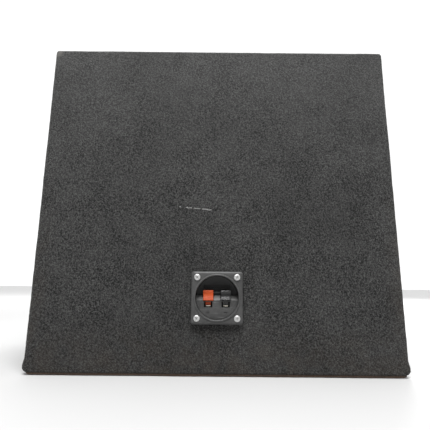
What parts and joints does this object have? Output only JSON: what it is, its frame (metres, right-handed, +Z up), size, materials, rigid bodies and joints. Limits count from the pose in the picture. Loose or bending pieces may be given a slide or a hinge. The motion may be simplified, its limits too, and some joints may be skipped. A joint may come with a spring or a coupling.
{
  "type": "car subwoofer box",
  "caption": "Carpeted sealed subwoofer box with a long-throw driver in the front baffle and a recessed push-terminal cup in the back panel.",
  "frame": {"origin": "centre of the footprint on the floor, under the middle of the whole box with its driver and terminal cup", "axes": "+Z up, -Y the way the terminal panel faces, +Y the way the driver fires, +X to the right of someone looking at the terminals"},
  "size_m": [0.42, 0.325, 0.393],
  "materials": {
    "carpet": "heathered charcoal non-woven carpet",
    "fibreboard": "raw medium-density fibreboard",
    "cup_plastic": "moulded, fine satin texture",
    "foam_gasket": "closed-cell foam",
    "red_tab": "moulded orange-red",
    "black_tab": "moulded black",
    "spring_steel": "bright strip",
    "brass": "pressed strip",
    "zinc_screw": "bright zinc plated",
    "black_screw": "black oxide",
    "basket_paint": "black powder coat",
    "surround_rubber": "satin rubber",
    "cone_paper": "coated pressed paper",
    "coil_former": "heat-proof film",
    "copper": "enamelled copper",
    "spider_cloth": "resin-treated woven cloth",
    "plated_steel": "zinc plated",
    "ferrite": "sintered, dark grey",
    "board_plastic": "moulded",
    "receptacle_tin": "tinned brass",
    "red_jacket": "PVC jacket",
    "black_jacket": "PVC jacket"
  },
  "bodies": {
    "enclosure": {"carpet_wrap": "carpet", "carpet_left": "carpet", "carpet_right": "carpet", "carpet_bottom": "carpet", "back_panel": "fibreboard", "front_baffle": "fibreboard", "bottom_panel": "fibreboard", "top_panel": "fibreboard", "left_panel": "fibreboard", "right_panel": "fibreboard", "terminal_cup": "cup_plastic", "terminal_block": "cup_plastic", "cup_gasket": "foam_gasket", "driver_gasket": "foam_gasket", "red_tab_spring": "spring_steel", "black_tab_spring": "spring_steel", "red_contact": "brass", "black_contact": "brass", "red_driver_terminal": "brass", "black_driver_terminal": "brass", "cup_screw_1": "zinc_screw", "cup_screw_2": "zinc_screw", "cup_screw_3": "zinc_screw", "cup_screw_4": "zinc_screw", "driver_screw_1": "black_screw", "driver_screw_2": "black_screw", "driver_screw_3": "black_screw", "driver_screw_4": "black_screw", "driver_screw_5": "black_screw", "driver_screw_6": "black_screw", "driver_screw_7": "black_screw", "driver_screw_8": "black_screw", "basket": "basket_paint", "surround": "surround_rubber", "trim_ring": "surround_rubber", "red_tinsel_lead": "copper", "black_tinsel_lead": "copper", "spider": "spider_cloth", "top_plate": "plated_steel", "yoke": "plated_steel", "magnet": "ferrite", "terminal_board": "board_plastic", "red_cup_receptacle": "receptacle_tin", "black_cup_receptacle": "receptacle_tin", "red_driver_receptacle": "receptacle_tin", "black_driver_receptacle": "receptacle_tin", "red_lead": "red_jacket", "black_lead": "black_jacket"},
    "cone_assembly": {"cone": "cone_paper", "dust_cap": "cone_paper", "coil_former": "coil_former", "voice_coil": "copper"},
    "red_tab": {"red_push_tab": "red_tab"},
    "black_tab": {"black_push_tab": "black_tab"}
  },
  "joints": [
    {"name": "cone_travel", "type": "slide", "parent": "enclosure", "child": "cone_assembly", "axis": [0, 1, 0], "range_m": [-0.01, 0.01], "stiffness_N_per_m": 4300, "deforming": ["surround", "spider", "red_tinsel_lead", "black_tinsel_lead"]},
    {"name": "red_tab_press", "type": "hinge", "parent": "enclosure", "child": "red_tab", "pos_m": [-0.0098, -0.15033, 0.0805], "axis": [1, 0, 0], "range_deg": [0, 10], "stiffness_Nm_per_rad": 0.2, "deforming": ["red_tab_spring"]},
    {"name": "black_tab_press", "type": "hinge", "parent": "enclosure", "child": "black_tab", "pos_m": [0.0098, -0.15033, 0.0805], "axis": [1, 0, 0], "range_deg": [0, 10], "stiffness_Nm_per_rad": 0.2, "deforming": ["black_tab_spring"]}
  ]
}
